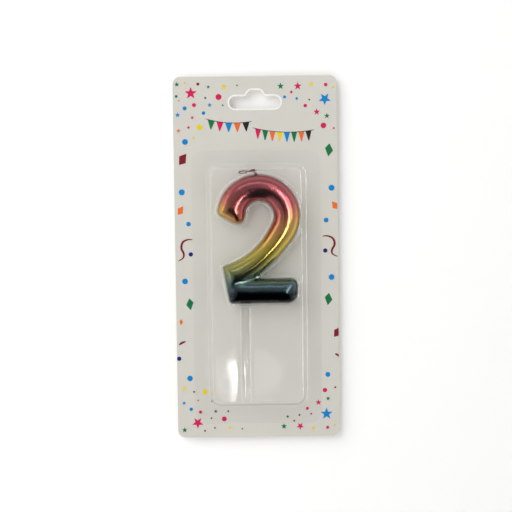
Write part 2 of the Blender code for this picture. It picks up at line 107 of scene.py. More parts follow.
# stick and wick
STICK_X, STICK_DEPTH = -6.5, 5.7
STICK_WIDTH_TOP, STICK_WIDTH_TIP = 5.6, 4.7
STICK_TANG, STICK_REACH, STICK_BLADE, STICK_RIB = 9.0, 47.0, 1.2, 3.6
FIT_GAP = 0.3
WICK_X, WICK_DEPTH, WICK_RADIUS = 0.3, 4.9, 0.5
WICK_LOW, WICK_FOLD = -57.1, -43.7


# ---- outlines in the card's plane ----

def arc(centre, radius, start, end, steps):
    angles = [start + (end - start) * i / steps for i in range(steps + 1)]
    return [(centre[0] + radius * math.cos(a), centre[1] + radius * math.sin(a)) for a in angles]


def rounded(corners, steps=6):
    """A closed outline through corners (x, z, radius), each turned with an arc of its radius."""
    outline = []
    for i, (x, z, radius) in enumerate(corners):
        if radius == 0:
            outline.append((x, z))
            continue
        corner = Vector((x, z))
        before = (Vector(corners[i - 1][:2]) - corner).normalized()
        after = (Vector(corners[(i + 1) % len(corners)][:2]) - corner).normalized()
        half_angle = before.angle(after) / 2
        reach = radius / math.tan(half_angle)
        centre = corner + (before + after).normalized() * radius / math.sin(half_angle)
        first = corner + before * reach - centre
        turn = first.angle_signed(corner + after * reach - centre)
        for k in range(steps + 1):
            outline.append(tuple(centre + Matrix.Rotation(-turn * k / steps, 2) @ first))
    return outline


def rounded_rectangle(shape, inset=0.0, steps=8):
    x, z, width, height, radius = shape
    w, h = width / 2 - inset, height / 2 - inset
    r = max(radius - inset, 0.3)
    return rounded([(x - w, z - h, r), (x + w, z - h, r), (x + w, z + h, r), (x - w, z + h, r)], steps)


def slot_outline(grow=0.0):
    """The hanging slot: round ends, and a bump whose top is at z = 0."""
    end = SLOT_HEIGHT / 2
    top = -BUMP_HEIGHT
    middle = top - end
    side = SLOT_LENGTH / 2 - end
    foot, head = BUMP_FOOT / 2 + grow * 0.6, BUMP_HEAD / 2 + grow * 0.6
    right = arc((side, middle), end + grow, -math.pi / 2, math.pi / 2, 16)
    left = arc((-side, middle), end + grow, math.pi / 2, math.pi * 3 / 2, 16)
    corner = BUMP_CORNER + grow
    fillet = BUMP_FILLET - grow / 2
    raised = [(foot, top + grow, fillet), (head, grow, corner)]
    raised += [(-head, grow, corner), (-foot, top + grow, fillet)]
    return rounded([(x, z, 0) for x, z in right] + raised + [(x, z, 0) for x, z in left])


# ---- the numeral, around the bowl's centre ----

def diagonal(t):
    """A point on the diagonal's centreline, a cubic curve, and the direction there."""
    start = Vector((math.cos(BOWL_END), math.sin(BOWL_END))) * BOWL_RADIUS
    leave = Vector((math.sin(BOWL_END), -math.cos(BOWL_END)))
    end = Vector(DIAGONAL_END)
    arrive = Vector(DIAGONAL_ARRIVES).normalized()
    pull = (end - start).length / 3
    a, b, c, d = start, start + leave * pull, end - arrive * pull, end
    s = 1 - t
    point = a * s**3 + b * 3 * s * s * t + c * 3 * s * t * t + d * t**3
    slope = (b - a) * s * s + (c - b) * 2 * s * t + (d - c) * t * t
    return point, slope.normalized()


def diagonal_edge(t, offset):
    point, tangent = diagonal(t)
    return point + Vector((-tangent.y, tangent.x)) * offset


def left_edge_x(z):
    share = (LEFT_TOP_Z - z) / (LEFT_TOP_Z - BASE_BOTTOM)
    return LEFT_TOP_X + (LEFT_BOTTOM_X - LEFT_TOP_X) * share


def crossing(offset, beyond):
    """How far along the diagonal its edge at an offset gets before the test holds."""
    low, high = 0.2, 1.3
    for _ in range(40):
        t = (low + high) / 2
        if beyond(diagonal_edge(t, offset)):
            high = t
        else:
            low = t
    return low


def hook_corners(grow):
    along = Vector(HOOK_SLOPE).normalized()
    foot = Vector(HOOK_FOOT) + Vector((along.y, -along.x)) * grow
    inner = foot + along * (HOOK_INNER_X + grow - foot.x) / along.x
    outer = foot + along * (HOOK_OUTER_X - grow - foot.x) / along.x
    return [(*inner, HOOK_INNER_CORNER + grow), (*outer, HOOK_OUTER_CORNER + grow)]


def bowl_inside(radius, steps):
    """The bowl's inner edge: an arc that draws in towards the hook."""
    points = []
    for i in range(steps + 1):
        angle = BOWL_END + (HOOK_INNER - BOWL_END) * i / steps
        bulge = max(0.0, (angle - SWELL_START) / (HOOK_INNER - SWELL_START))
        drawn_in = radius - HOOK_SWELL * bulge * bulge
        points.append((drawn_in * math.cos(angle), drawn_in * math.sin(angle)))
    return points


def upper_stroke_sides(grow, end_of_outer, steps):
    """The outer and inner edges of bowl and diagonal, and how far along the inner one ends."""
    half = HALF_STROKE + grow
    inner_end = crossing(-half, lambda p: p.x < left_edge_x(p.y) - grow)
    outer = arc((0, 0), BOWL_RADIUS + half, HOOK_OUTER, BOWL_END, 3 * steps)
    shares = [CROTCH_SHARE * i / (steps - 2) for i in range(1, steps - 1)]
    outer += [tuple(diagonal_edge(end_of_outer * share, half)) for share in shares]
    shares = [i / steps for i in range(steps - 1, 0, -1)]
    inner = [tuple(diagonal_edge(inner_end * t, WAIST * math.sin(math.pi * t) - half)) for t in shares]
    inner += bowl_inside(BOWL_RADIUS - half, 2 * steps)
    return outer, inner, inner_end


def plain(points):
    return [(x, z, 0) for x, z in points]


def stretch(start, end, steps):
    """Points between two ends of a straight run, with no corner radius."""
    return [(start[0] + (end[0] - start[0]) * i / steps, start[1] + (end[1] - start[1]) * i / steps, 0)
            for i in range(1, steps)]


def base_corners(grow):
    return [(LEFT_BOTTOM_X - grow, BASE_BOTTOM - grow, LOWER_LEFT_CORNER + grow),
            (RIGHT_BOTTOM_X + grow, BASE_BOTTOM - grow, LOWER_RIGHT_CORNER + grow),
            (RIGHT_TOP_X + grow, BASE_TOP + grow, UPPER_RIGHT_CORNER + grow)]


def numeral_outline(grow=0.0, steps=24):
    half = HALF_STROKE + grow
    crotch = crossing(half, lambda p: p.y < BASE_TOP + grow)
    outer, inner, inner_end = upper_stroke_sides(grow, crotch, steps)
    notch = diagonal_edge(crotch, half)
    lower_left, lower_right, upper_right = base_corners(grow)
    upper_left = diagonal_edge(inner_end, -half)
    corners = plain(outer) + [(*notch, CROTCH_FILLET)]
    top, bottom = upper_right[1], lower_right[1]
    corners += stretch((notch.x + AFTER_CROTCH, top), (upper_right[0] - BEFORE_UPPER_RIGHT, top), steps // 2)
    corners += [upper_right, lower_right]
    first, last = lower_right[0] - AFTER_LOWER_RIGHT, lower_left[0] + BEFORE_LOWER_LEFT
    corners += stretch((first, bottom), (last, bottom), steps)
    corners += [lower_left]
    corners += stretch(lower_left, upper_left, steps // 2)[1:-1]
    corners += [(*upper_left, UPPER_LEFT_CORNER + grow)]
    corners += plain(inner) + hook_corners(grow)
    return [(x + BOWL_X, z + BOWL_Z) for x, z in rounded(corners)]


def even(outline, longest):
    """The same closed outline with points added along every edge longer than longest."""
    points = []
    for a, b in zip(outline, outline[1:] + outline[:1]):
        count = max(1, math.ceil(math.dist(a, b) / longest))
        points += [(a[0] + (b[0] - a[0]) * i / count, a[1] + (b[1] - a[1]) * i / count) for i in range(count)]
    return points


def stroke_outlines(steps=28, longest=0.5):
    """The upper stroke and the base bar, each as a closed outline of its own, finely divided."""
    outer_end = crossing(HALF_STROKE, lambda p: p.x < left_edge_x(p.y))
    outer, inner, inner_end = upper_stroke_sides(0.0, outer_end, steps)
    lower, upper = diagonal_edge(outer_end, HALF_STROKE), diagonal_edge(inner_end, -HALF_STROKE)
    corners = plain(outer) + [(*lower, 0), (*upper, UPPER_LEFT_CORNER)]
    upper_stroke = rounded(corners + plain(inner) + hook_corners(0.0))
    corners = [(left_edge_x(BASE_TOP), BASE_TOP, 0)] + base_corners(0.0)
    base = rounded(corners[::-1], 10)
    return [even([(x + BOWL_X, z + BOWL_Z) for x, z in stroke], longest) for stroke in (upper_stroke, base)]


def signed_distance(points, outline):
    """How far each point lies inside a closed outline, in mm; negative outside."""
    p = np.asarray(points, float)
    a = np.asarray(outline, float)
    b = np.roll(a, -1, axis=0)
    nearest = np.full(len(p), np.inf)
    inside = np.zeros(len(p), bool)
    for (ax, az), (bx, bz) in zip(a, b):
        ex, ez = bx - ax, bz - az
        length = ex * ex + ez * ez
        if length < 1e-12:
            continue
        share = np.clip(((p[:, 0] - ax) * ex + (p[:, 1] - az) * ez) / length, 0, 1)
        nearest = np.minimum(nearest, np.hypot(p[:, 0] - ax - share * ex, p[:, 1] - az - share * ez))
        if az != bz:
            straddles = (az > p[:, 1]) != (bz > p[:, 1])
            inside ^= straddles & (p[:, 0] < ax + ex * (p[:, 1] - az) / ez)
    return np.where(inside, nearest, -nearest)


# ---- meshes ----

def place(points, depths):
    """Vertices in metres from outline points and depths in front of the card's middle plane."""
    return [Vector((x, -d, z)) * MM for (x, z), d in zip(points, depths)]


def add_piece(bm, name, smooth_angle=None, outward=True):
    if outward:
        bmesh.ops.recalc_face_normals(bm, faces=bm.faces)
    mesh = bpy.data.meshes.new(name)
    bm.to_mesh(mesh)
    bm.free()
    if smooth_angle is not None:
        mesh.shade_smooth()
        mesh.set_sharp_from_angle(angle=math.radians(smooth_angle))
    piece = bpy.data.objects.new(name, mesh)
    bpy.context.scene.collection.objects.link(piece)
    return piece


def join_loops(bm, first, second):
    count = len(first)
    for i in range(count):
        j = (i + 1) % count
        bm.faces.new((first[i], first[j], second[j], second[i]))


def loft(bm, rings):
    loops = [[bm.verts.new(point) for point in ring] for ring in rings]
    for lower, upper in zip(loops, loops[1:]):
        join_loops(bm, lower, upper)
    bm.faces.new(loops[0])
    bm.faces.new(loops[-1])
    return bm


def closed(count, first=0):
    """The edges of a closed loop of points, as pairs of their numbers."""
    return [(first + i, first + (i + 1) % count) for i in range(count)]


def skin(flat, edges, keep, tolerance, depth_at):
    """A triangulated face over flat points (x, z), each as far forward as depth_at says."""
    points, _, faces, *_ = delaunay_2d_cdt([Vector(p) for p in flat], edges, [], keep, tolerance)
    places = [tuple(p) for p in points]
    bm = bmesh.new()
    front = [bm.verts.new(v) for v in place(places, depth_at(places))]
    for face in faces:
        bm.faces.new([front[i] for i in face])
    return bm, front


def drop_loose(bm):
    bmesh.ops.delete(bm, geom=[v for v in bm.verts if not v.link_faces], context="VERTS")


def cut(piece, cutter_bm):
    """Takes a guide body out of a piece with an exact Boolean, and applies it."""
    guide = add_piece(cutter_bm, "guide")
    step = piece.modifiers.new("cut", "BOOLEAN")
    step.operation = "DIFFERENCE"
    step.solver = "EXACT"
    step.object = guide
    bpy.context.view_layer.update()
    made = bpy.data.meshes.new_from_object(piece.evaluated_get(bpy.context.evaluated_depsgraph_get()))
    piece.modifiers.remove(step)
    piece.data = made
    bpy.data.objects.remove(guide)


# ---- node helpers: a socket knows its own tree, so most need only the values they work on ----

def put(socket, value):
    """Gives an input a number, a colour or another node's output."""
    if isinstance(value, bpy.types.NodeSocket):
        socket.id_data.links.new(value, socket)
    else:
        socket.default_value = (*value, 1) if isinstance(value, tuple) else value


def feed(node, **inputs):
    """Sets a node's inputs by name, with _ for each space in a name."""
    for name, value in inputs.items():
        put(node.inputs[name.replace("_", " ")], value)
    return node


def add(nodes, kind, **inputs):
    return feed(nodes.new("ShaderNode" + kind), **inputs)


def beside(values, kind):
    """A new node in the tree of the first socket among values."""
    tree = next(v for v in values if isinstance(v, bpy.types.NodeSocket)).id_data
    return tree.nodes.new("ShaderNode" + kind)


def new_material(name):
    surface = bpy.data.materials.new(name)
    surface.use_nodes = True
    nodes = surface.node_tree.nodes
    return surface, nodes, nodes["Principled BSDF"]


def own_place(nodes):
    return add(nodes, "TexCoord").outputs["Object"]


def noise(at, scale, detail=4.0, roughness=0.6):
    node = feed(beside([at], "TexNoise"), Vector=at, Scale=scale, Detail=detail, Roughness=roughness)
    return node.outputs["Fac"]


def ramp(value, stops, easing="LINEAR"):
    """A colour ramp over value, from stops (position, colour or grey)."""
    node = feed(beside([value], "ValToRGB"), Fac=value)
    node.color_ramp.interpolation = easing
    elements = node.color_ramp.elements
    while len(elements) < len(stops):
        elements.new(0.5)
    for element, (position, colour) in zip(elements, stops):
        element.position = position
        element.color = (*(colour if isinstance(colour, tuple) else (colour,) * 3), 1)
    return node.outputs["Color"]


def maths(operation, *values, clamp=False):
    node = beside(values, "Math")
    node.operation = operation
    node.use_clamp = clamp
    for socket, value in zip(node.inputs, values):
        put(socket, value)
    return node.outputs[0]


def times(a, b):
    return maths("MULTIPLY", a, b)


def scaled(value, factor, offset, clamp=False):
    return maths("MULTIPLY_ADD", value, factor, offset, clamp=clamp)


def mix_colour(share, a, b, blend="MIX"):
    node = beside((share, a, b), "Mix")
    node.data_type = "RGBA"
    node.blend_type = blend
    colours = [s for s in node.inputs if s.type == "RGBA"]
    for socket, value in zip([node.inputs[0]] + colours, (share, a, b)):
        put(socket, value)
    return next(s for s in node.outputs if s.type == "RGBA")


def mix_shader(share, first, second):
    node = beside([share], "MixShader")
    for socket, value in zip(node.inputs, (share, first, second)):
        put(socket, value)
    return node.outputs[0]


def bump(height, strength, distance):
    node = feed(beside([height], "Bump"), Strength=strength, Distance=distance, Height=height)
    return node.outputs["Normal"]


def srgb(r, g, b):
    """A display colour, 0-255, as linear light."""
    def linear(v):
        v /= 255
        return v / 12.92 if v <= 0.04045 else ((v + 0.055) / 1.055) ** 2.4
    return (linear(r), linear(g), linear(b))


# ---- materials ----

def board_material():
    """Clay-coated board: a smooth pale face, a greyer flecked back and a bright fibrous cut edge."""
    surface, nodes, shader = new_material("card_print")
    own = add(nodes, "TexCoord")
    at = own.outputs["Object"]
    fibre = noise(at, 900, 5, 0.7)
    face = ramp(noise(at, 45, 3), [(0.3, (0.575, 0.560, 0.510)), (0.7, (0.595, 0.580, 0.530))])
    face = mix_colour(times(fibre, 0.10), face, (0.50, 0.48, 0.43))
    flecks = ramp(noise(at, 1400, 2, 0.5), [(0.60, 0.0), (0.68, 1.0)])
    back = mix_colour(times(fibre, 0.45), (0.56, 0.535, 0.48), (0.42, 0.39, 0.34))
    back = mix_colour(times(flecks, 0.22), back, (0.24, 0.21, 0.18))
    facing = add(nodes, "SeparateXYZ", Vector=own.outputs["Normal"]).outputs["Y"]
    is_back = maths("GREATER_THAN", facing, 0.5)
    is_face = maths("LESS_THAN", facing, -0.5)
    layers = ramp(noise(at, 2600, 3), [(0.35, (0.66, 0.64, 0.59)), (0.65, (0.80, 0.79, 0.74))])
    colour = mix_colour(is_face, mix_colour(is_back, layers, back), face)
    feed(shader, Base_Color=colour, Roughness=scaled(is_face, -0.35, 0.85), Specular_IOR_Level=0.3)
    feed(shader, Normal=bump(fibre, 0.25, 0.00004))
    return surface


def ink_material(name, colour):
    """Offset ink on coated board: a little mottled, satin."""
    surface, nodes, shader = new_material("ink_" + name)
    mottle = noise(own_place(nodes), 1500, 3, 0.7)
    pale = tuple(c * 0.80 + 0.16 for c in colour)
    share = scaled(mottle, 0.30, -0.12, clamp=True)
    feed(shader, Base_Color=mix_colour(share, colour, pale), Roughness=0.5, Specular_IOR_Level=0.08)
    feed(shader, Normal=bump(mottle, 0.15, 0.00002))
    return surface


def rim_material():
    """The slot's pressed edge, where the coating has whitened."""
    surface, nodes, shader = new_material("slot_edge")
    colour = ramp(noise(own_place(nodes), 700, 4), [(0.3, (0.74, 0.73, 0.69)), (0.7, (0.86, 0.85, 0.82))])
    feed(shader, Base_Color=colour, Roughness=0.5)
    return surface


# painted highlight: how much white a face is given by how squarely it faces forward, shown to the camera
# only: steep walls most, flat ones none
PAINTED_WALL_HIGHLIGHT = [(0.15, 1.0), (0.27, 0.34), (0.75, 0.30), (0.97, 0.0)]
SQUARE_ON = 0.04  # what clear plastic reflects when looked at squarely


def clear_material(name, tint, ior, roughness, gloss_gain, waves, wall_highlight_strength):
    """Thin clear plastic: shows what is behind, reflects, and carries a painted white highlight on its steep
    walls that only the camera sees.
    """
    surface, nodes, _ = new_material(name)
    nodes.clear()
    out = add(nodes, "OutputMaterial")
    at = own_place(nodes)
    wave_scale, wave_height = waves
    ripple = bump(noise(at, wave_scale, 2, 0.4), 1.0, wave_height)
    through = add(nodes, "BsdfTransparent", Color=tint).outputs[0]
    gloss = add(nodes, "BsdfGlossy", Roughness=roughness, Normal=ripple).outputs[0]
    mirrored = add(nodes, "Fresnel", IOR=ior, Normal=ripple).outputs[0]
    seen = add(nodes, "LightPath").outputs["Is Camera Ray"]
    outer = times(maths("SUBTRACT", 1.0, add(nodes, "NewGeometry").outputs["Backfacing"]), seen)
    haze = scaled(noise(at, 260, 4, 0.7), 0.010, -0.003, clamp=True)
    steep = maths("SUBTRACT", mirrored, SQUARE_ON, clamp=True)
    share = maths("ADD", scaled(steep, gloss_gain, haze, clamp=True), maths("MINIMUM", mirrored, SQUARE_ON))
    glossy = mix_shader(times(share, outer), through, gloss)
    facing = add(nodes, "SeparateXYZ", Vector=add(nodes, "TexCoord").outputs["Normal"])
    flatness = maths("ABSOLUTE", facing.outputs["Y"])
    # painted highlight: for camera rays, steep faces are mixed towards a white matt layer, which stands in
    # for the bright lines along walls and edges
    painted_highlight = ramp(flatness, [(flat, level * wall_highlight_strength) for flat, level in PAINTED_WALL_HIGHLIGHT])
    highlight_white = add(nodes, "BsdfDiffuse", Color=(0.93, 0.94, 0.93)).outputs[0]
    feed(out, Surface=mix_shader(times(painted_highlight, seen), glossy, highlight_white))
    return surface


# lacquer colours down the figure: height in mm, and the metal's own colour
LACQUER = [
    (-45.6, (0.35, 0.085, 0.100)), (-60.0, (0.42, 0.092, 0.104)), (-69.0, (0.49, 0.115, 0.102)),
    (-73.5, (0.58, 0.190, 0.105)), (-77.5, (0.65, 0.310, 0.105)), (-81.5, (0.67, 0.410, 0.095)),
    (-85.5, (0.61, 0.430, 0.080)), (-89.0, (0.52, 0.420, 0.070)), (-94.0, (0.40, 0.365, 0.080)),
    (-98.5, (0.26, 0.290, 0.120)), (-102.5, (0.14, 0.205, 0.165)), (-105.5, (0.064, 0.112, 0.120)),
    (-108.3, (0.045, 0.080, 0.092)), (-110.5, (0.007, 0.013, 0.024)), (-116.6, (0.002, 0.004, 0.010)),
]
GOLD_RISE = 20.0  # the rose reaches lowest at the bowl's middle: rise per metre squared to either side
HOOK_RISE = 18.0  # and this much more to the left
ROSE_MIDDLE = 0.001
RISE_FOOT, RISE_OVER = -0.095, 0.020  # no rise below this height, and all of it this much higher


def lacquer_material():
    """Metallic lacquer airbrushed over wax, from rose at the top through gold and teal to midnight blue."""
    surface, nodes, shader = new_material("lacquered_wax")
    at = own_place(nodes)
    axes = add(nodes, "SeparateXYZ", Vector=at)
    x, z = axes.outputs["X"], axes.outputs["Z"]
    drift = scaled(noise(at, 120, 3), 0.004, -0.002)
    lean = scaled(z, 1 / RISE_OVER, -RISE_FOOT / RISE_OVER, clamp=True)
    aside = maths("SUBTRACT", x, ROSE_MIDDLE)
    leftward = maths("POWER", maths("MINIMUM", aside, 0.0), 2.0)
    rise = scaled(leftward, -HOOK_RISE, times(maths("POWER", aside, 2.0), -GOLD_RISE))
    height = maths("ADD", maths("ADD", z, drift), times(rise, lean))
    top, bottom = LACQUER[0][0] * MM, LACQUER[-1][0] * MM
    share = scaled(height, 1 / (bottom - top), -top / (bottom - top))
    colour = ramp(share, [((h * MM - top) / (bottom - top), colour) for h, colour in LACQUER])
    flake = ramp(noise(at, 2600, 2, 0.8), [(0.45, 0.85), (0.70, 1.25)])
    skin = scaled(noise(at, 900, 3, 0.6), 0.25, noise(at, 170, 2, 0.5))
    feed(shader, Base_Color=mix_colour(1.0, colour, flake, "MULTIPLY"), Metallic=1.0)
    feed(shader, Roughness=scaled(noise(at, 300, 4), 0.10, 0.19), Coat_Weight=0.55, Coat_Roughness=0.18)
    feed(shader, Normal=bump(skin, 0.35, 0.0004))
    return surface


def cotton_material():
    """Dyed, waxed cotton braid."""
    surface, nodes, shader = new_material("waxed_cotton")
    fibre = noise(own_place(nodes), 4000, 4, 0.7)
    dye = [(0.3, (0.050, 0.012, 0.010)), (0.5, (0.130, 0.030, 0.024)), (0.75, (0.30, 0.12, 0.08))]
    feed(shader, Base_Color=ramp(fibre, dye), Roughness=0.55, Sheen_Weight=0.25)
    feed(shader, Normal=bump(fibre, 0.6, 0.00008))
    return surface


# ---- the card's print ----

# the confetti by ink: across, down and size in the print's own mm, then 1 or -1 for the way a scrap
# of paper faces; a ribbon is the points of its path
CONFETTI = {
    "green": {
        "star": [(2.7, 4.1, 1.54), (19.8, 5.6, 1.1), (59.1, 5.6, 1.98), (84.1, 22.0, 1.65),
            (21.3, 183.6, 1.21), (4.0, 193.9, 1.65), (83.4, 177.2, 1.38), (58.9, 192.4, 1.81)],
        "dot": [(2.3, 10.5, 0.77), (18.1, 11.5, 0.61), (27.5, 15.6, 0.5), (18.9, 187.4, 0.5),
            (61.0, 187.0, 0.66)],
        "lozenge": [(8.0, 124.1, 3.35, -1), (85.1, 40.5, 3.6, 1), (84.1, 122.1, 3.45, 1)],
    },
    "yellow": {
        "star": [(28.3, 5.7, 1.87), (75.8, 4.8, 1.65), (4.0, 170.6, 1.65), (29.0, 192.9, 1.32),
            (75.2, 193.5, 1.38)],
        "dot": [(7.0, 3.3, 0.55), (14.7, 27.4, 1.54), (11.2, 33.0, 0.61), (87.6, 6.5, 0.55),
            (15.4, 172.6, 1.43), (86.8, 192.1, 0.55)],
    },
    "crimson": {
        "star": [(10.2, 8.9, 3.58), (10.8, 22.1, 1.1), (68.4, 5.7, 2.37), (78.6, 19.8, 1.98),
            (11.7, 177.4, 0.77), (78.1, 179.3, 1.81)],
        "falling_star": [(11.3, 189.9, 3.41), (67.9, 192.4, 2.25)],
        "dot": [(3.6, 12.8, 0.39), (25.3, 11.1, 1.65), (11.9, 15.3, 1.1), (8.7, 27.4, 0.66),
            (83.6, 5.1, 0.99), (64.9, 8.9, 0.72), (72.4, 16.3, 0.99), (82.2, 27.2, 1.54),
            (87.8, 28.7, 0.55), (12.9, 183.9, 0.94), (26.0, 187.9, 1.38), (81.7, 172.5, 1.26),
            (71.9, 182.6, 0.88), (83.0, 193.3, 0.88)],
    },
    "maroon": {
        "star": [(20.7, 192.8, 0.83)],
        "dot": [(14.2, 4.0, 0.83), (35.4, 4.9, 0.44), (74.6, 13.1, 0.5), (9.5, 172.6, 0.55),
            (28.2, 183.6, 0.55), (15.2, 194.4, 0.55), (35.8, 193.5, 0.44), (87.4, 171.0, 0.55),
            (74.0, 185.6, 0.5), (64.6, 189.4, 0.55)],
        "slip": [(5.2, 44.7, 3.1, 1), (88.6, 140.6, 2.6, 1)],
        "ribbon": [
            [(9.9, 88.6), (7.4, 88.5), (4.6, 89.9), (3.8, 93.2), (5.0, 96.1), (4.7, 98.4), (2.1, 100.2)],
            [(81.2, 87.5), (84.0, 87.4), (86.9, 88.9), (87.7, 92.0), (86.3, 95.0), (86.5, 97.2),
             (89.2, 98.7)],
            [(1.7, 146.5), (3.1, 145.4), (5.4, 144.6)],
            [(87.5, 152.4), (89.0, 153.1), (90.4, 154.4)],
        ],
    },
    "blue": {
        "star": [(20.4, 15.4, 1.38), (2.9, 20.6, 1.54), (3.9, 178.8, 1.32), (82.5, 185.7, 3.58)],
        "falling_star": [(83.0, 12.8, 3.63)],
        "dot": [(6.8, 17.0, 1.1), (17.0, 19.7, 0.99), (6.7, 35.2, 1.59), (61.2, 11.5, 0.83),
            (67.8, 12.4, 0.72), (4.5, 62.6, 1.65), (7.9, 80.0, 1.26), (5.5, 111.4, 1.59),
            (7.4, 165.1, 1.54), (86.3, 61.1, 1.65), (83.2, 78.7, 1.32), (85.9, 110.0, 1.59),
            (83.4, 163.8, 1.38), (7.8, 182.3, 0.99)],
    },
    "orange": {
        "star": [(3.2, 29.2, 1.38)],
        "slip": [(3.6, 72.6, 2.35, 1), (88.0, 70.7, 2.2, -1)],
        "lozenge": [(3.0, 133.9, 1.75, 1)],
    },
    "navy": {
        "dot": [(8.9, 96.6, 1.21), (1.6, 154.1, 1.21), (82.6, 95.4, 1.21), (19.5, 177.8, 0.72),
            (67.5, 186.2, 0.55)],
    },
    "black": {},
}
INKS = {
    "crimson": srgb(200, 28, 84), "blue": srgb(0, 124, 190), "navy": srgb(22, 40, 108),
    "green": srgb(12, 112, 62), "yellow": srgb(222, 196, 24), "orange": srgb(222, 104, 44),
    "maroon": srgb(120, 22, 34), "black": srgb(34, 30, 32),
}
# the two strings of pennants: first and last point of the cord in mm from the card's top left corner,
# how far it sags, the pennants' length, and their colours
GARLANDS = [
    ((18.8, 23.0), (42.4, 24.6), 1.3, 5.6, ["green", "crimson", "blue", "orange", "black"]),
    ((44.6, 28.2), (76.0, 29.6), 1.6, 6.2,
     ["crimson", "green", "orange", "yellow", "blue", "green", "orange", "black"]),
]

STAR_WAIST = 0.41  # a star's inner corners, as a share of its size
RIBBON_HALF = 0.62
LEFT_MARGIN = 0.4  # the print's own left edge lies this far outside the trimmed card
TRIM = 0.05


def star_shape(x, z, size, falling=False):
    """A five-pointed star with slightly rounded points."""
    start = -math.pi / 2 if falling else math.pi / 2
    points = []
    for i in range(10):
        outer = i % 2 == 0
        radius = size if outer else size * STAR_WAIST
        a = start - i * math.pi / 5
        points.append((x + radius * math.cos(a), z + radius * math.sin(a), size * 0.05 if outer else 0))
    return rounded(points, 3)


def dot_shape(x, z, size):
    return arc((x, z), size, 2 * math.pi, 2 * math.pi / 28, 27)


LOZENGE = [(0.10, 1.0), (0.62, -0.10), (-0.12, -1.0), (-0.60, 0.30)]
SLIP = [(0.68, 1.02), (0.55, -0.68), (-0.64, -0.97), (-0.58, 0.55)]


def turned_shape(shape, x, z, size, facing):
    """A small four-sided scrap of paper; facing is -1 for its mirror image."""
    corners = [(x + facing * px * size, z + pz * size, 0.12) for px, pz in shape]
    return rounded(corners if facing > 0 else corners[::-1], 3)


def smooth_path(points, steps):
    """A Catmull-Rom curve through points."""
    ends = [points[0]] + list(points) + [points[-1]]
    path = []
    for a, b, c, d in zip(ends, ends[1:], ends[2:], ends[3:]):
        for k in range(steps):
            t = k / steps
            path.append(tuple(0.5 * (2 * q + (r - p) * t + (2 * p - 5 * q + 4 * r - s) * t * t
                                     + (3 * q - 3 * r + s - p) * t**3) for p, q, r, s in zip(a, b, c, d)))
    return path + [tuple(points[-1])]


def ribbon_shape(path, half_width, tapered=True):
    """A narrow band along a path, tapering towards its ends."""
    left, right = [], []
    count = len(path) - 1
    for i, point in enumerate(path):
        before, after = path[max(i - 1, 0)], path[min(i + 1, count)]
        along = (Vector(after) - Vector(before)).normalized()
        width = half_width * (0.35 + 0.65 * math.sin(math.pi * i / count)) if tapered else half_width
        side = Vector((-along.y, along.x)) * width
        left.append(tuple(Vector(point) + side))
        right.append(tuple(Vector(point) - side))
    return left + right[::-1]


def from_corner(x, down):
    return CARD_LEFT - LEFT_MARGIN + x, CARD_TOP - down


def keep_on_card(outline):
    """Print runs up to the card's trimmed edge and no further."""
    low, high = CARD_LEFT + TRIM, -CARD_LEFT - TRIM
    return [(min(max(x, low), high), z) for x, z in outline]


def confetti_outlines(colour):
    kinds = CONFETTI[colour]
    outlines = []
    for kind, falling in (("star", False), ("falling_star", True)):
        outlines += [star_shape(*from_corner(x, d), size, falling) for x, d, size in kinds.get(kind, [])]
    outlines += [dot_shape(*from_corner(x, d), size) for x, d, size in kinds.get("dot", [])]
    for kind, shape in (("lozenge", LOZENGE), ("slip", SLIP)):
        outlines += [turned_shape(shape, *from_corner(x, d), size, facing)
                     for x, d, size, facing in kinds.get(kind, [])]
    for points in kinds.get("ribbon", []):
        outlines.append(ribbon_shape(smooth_path([from_corner(*p) for p in points], 8), RIBBON_HALF))
    return [keep_on_card(outline) for outline in outlines]


def garland_outlines(colour):
    """This colour's pennants, and for black the cords they hang from."""
    outlines = []
    for start, end, sag, length, colours in GARLANDS:
        def along(t):
            x = start[0] + (end[0] - start[0]) * t
            return from_corner(x, start[1] + (end[1] - start[1]) * t + sag * 4 * t * (1 - t))
        if colour == "black":
            path = [along(-0.03 + 1.06 * i / 30) for i in range(31)]
            outlines.append(ribbon_shape(path, 0.16, tapered=False))
        for i, own in enumerate(colours):
            if own != colour:
                continue
            width = 1 / len(colours)
            a, b = along((i + 0.08) * width), along((i + 0.92) * width)
            middle = ((a[0] + b[0]) / 2 + (b[1] - a[1]) * 0.4, (a[1] + b[1]) / 2 - length)
            outlines.append(rounded([(*a, 0.2), (*b, 0.2), (*middle, 0.3)], 4))
    return outlines


def make_print():
    for colour, ink in INKS.items():
        bm = bmesh.new()
        for outline in confetti_outlines(colour) + garland_outlines(colour):
            depths = (CARD_FRONT - PRINT_SINK, CARD_FRONT + PRINT_THICKNESS)
            loft(bm, [place(outline, [d] * len(outline)) for d in depths])
        piece = add_piece(bm, "print_" + colour)
        piece.data.materials.append(ink_material(colour, ink))
        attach(piece, "card")


def make_slot_edge():
    """The pressed rim round the hanging slot, barely proud of the face."""
    bm = bmesh.new()
    levels = [(0.02, CARD_FRONT - PRINT_SINK), (0.02, CARD_FRONT + 0.05), (0.25, CARD_FRONT + 0.08),
              (SLOT_RIM - 0.2, CARD_FRONT + 0.05), (SLOT_RIM, CARD_FRONT - PRINT_SINK)]
    loops = []
    for grow, depth in levels:
        outline = slot_outline(grow)
        loops.append([bm.verts.new(v) for v in place(outline, [depth] * len(outline))])
    for first, second in zip(loops, loops[1:] + loops[:1]):
        join_loops(bm, first, second)
    piece = add_piece(bm, "slot_edge", 60)
    piece.data.materials.append(rim_material())
    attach(piece, "card")


# ---- the blister film ----

